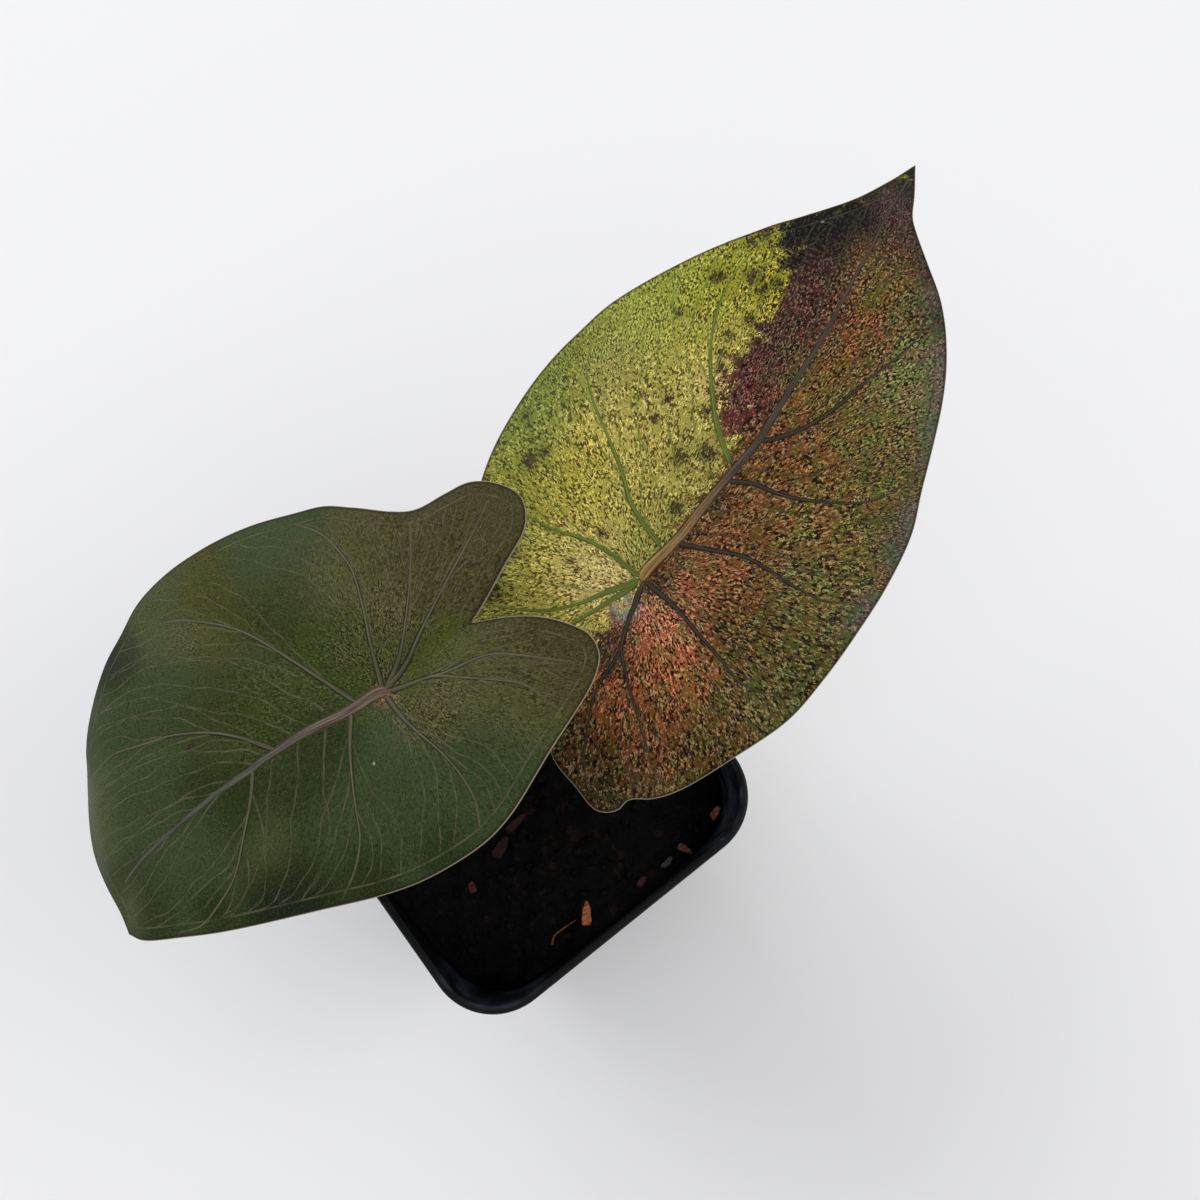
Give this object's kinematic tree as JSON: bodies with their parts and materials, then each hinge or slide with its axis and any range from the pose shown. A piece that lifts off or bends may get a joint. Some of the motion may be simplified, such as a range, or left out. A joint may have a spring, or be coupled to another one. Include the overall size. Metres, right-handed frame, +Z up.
{
  "type": "potted plumbea alocasia",
  "caption": "Young plumbea alocasia in a small square black nursery pot: a green shield-shaped leaf above a longer leaf variegated yellow-green, pink-brown and plum.",
  "frame": {"origin": "centre of the underside of the pot", "axes": "+Z up, +X towards the tip of the longer, variegated leaf, along one side of the square pot; +Y along the next side"},
  "size_m": [0.2094, 0.1017, 0.1565],
  "materials": {
    "pot_plastic": "satin",
    "potting_mix": "matte",
    "corm_skin": "matte",
    "petiole_skin": "satin",
    "leaf_variegated": "satin",
    "leaf_green": "satin",
    "bark": "matte",
    "dry_root": "matte"
  },
  "bodies": {
    "root": {"pot": "pot_plastic", "soil": "potting_mix", "corm_with_roots": "corm_skin", "petiole_right": "petiole_skin", "petiole_left": "petiole_skin", "leaf_right": "leaf_variegated", "leaf_left": "leaf_green", "bark_chip_front": "bark", "bark_chip_right": "bark", "bark_chip_side": "bark", "bark_chip_grey": "bark", "bark_chip_red": "bark", "bark_chip_inner": "bark", "bark_chip_long": "bark", "bark_chip_left": "bark", "root_fibre": "dry_root"}
  },
  "joints": []
}
